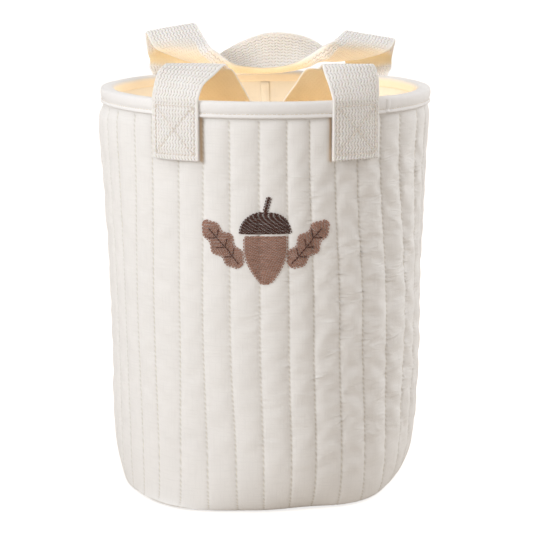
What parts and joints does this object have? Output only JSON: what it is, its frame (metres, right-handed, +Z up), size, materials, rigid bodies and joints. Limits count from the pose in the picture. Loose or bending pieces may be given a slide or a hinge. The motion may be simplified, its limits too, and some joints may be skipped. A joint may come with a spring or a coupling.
{
  "type": "soft storage bin",
  "caption": "Round soft storage bin of quilted cotton with a bound rim, a smooth lining, webbing handles and a stitched acorn motif.",
  "frame": {"origin": "middle of the base's underside, at the middle of the overall box seen from above", "axes": "+Z up, front with the motif faces -Y, +X to the right seen from the front"},
  "size_m": [0.243, 0.243, 0.3348],
  "materials": {
    "quilted_cotton": "plain-woven cotton, quilted",
    "base_cotton": "plain-woven cotton",
    "wadding": "soft polyester wadding",
    "lining_cotton": "smooth plain-woven cotton",
    "binding_cotton": "bias-cut cotton tape",
    "cream_thread": "matt sewing thread",
    "webbing": "herringbone cotton webbing",
    "brown_thread": "embroidery fill stitch",
    "dark_thread": "embroidery satin stitch"
  },
  "bodies": {
    "bag": {"outer_wall": "quilted_cotton", "outer_base": "base_cotton", "wall_wadding": "wadding", "base_wadding": "wadding", "lining_wall": "lining_cotton", "lining_base": "lining_cotton", "lining_seam": "lining_cotton", "rim_binding": "binding_cotton", "binding_join": "binding_cotton", "binding_thread": "cream_thread", "motif_acorn": "brown_thread", "motif_acorn_cap": "dark_thread", "motif_acorn_stem": "dark_thread", "motif_leaf_left": "brown_thread", "motif_leaf_right": "brown_thread", "front_left_strap_end": "webbing", "front_right_strap_end": "webbing", "back_left_strap_end": "webbing", "back_right_strap_end": "webbing", "front_left_foot_stitches": "cream_thread", "front_left_top_stitches": "cream_thread", "front_right_foot_stitches": "cream_thread", "front_right_top_stitches": "cream_thread", "back_left_foot_stitches": "cream_thread", "back_left_top_stitches": "cream_thread", "back_right_foot_stitches": "cream_thread", "back_right_top_stitches": "cream_thread"},
    "front_handle": {"front_handle": "webbing"},
    "back_handle": {"back_handle": "webbing"}
  },
  "joints": [
    {"name": "front_handle_lift", "type": "hinge", "parent": "bag", "child": "front_handle", "pos_m": [0, -0.092, 0.3177], "axis": [1, 0, 0], "range_deg": [0, 140]},
    {"name": "back_handle_swing", "type": "hinge", "parent": "bag", "child": "back_handle", "pos_m": [0, 0.098, 0.304], "axis": [-1, 0, 0], "range_deg": [-30, 80]}
  ]
}
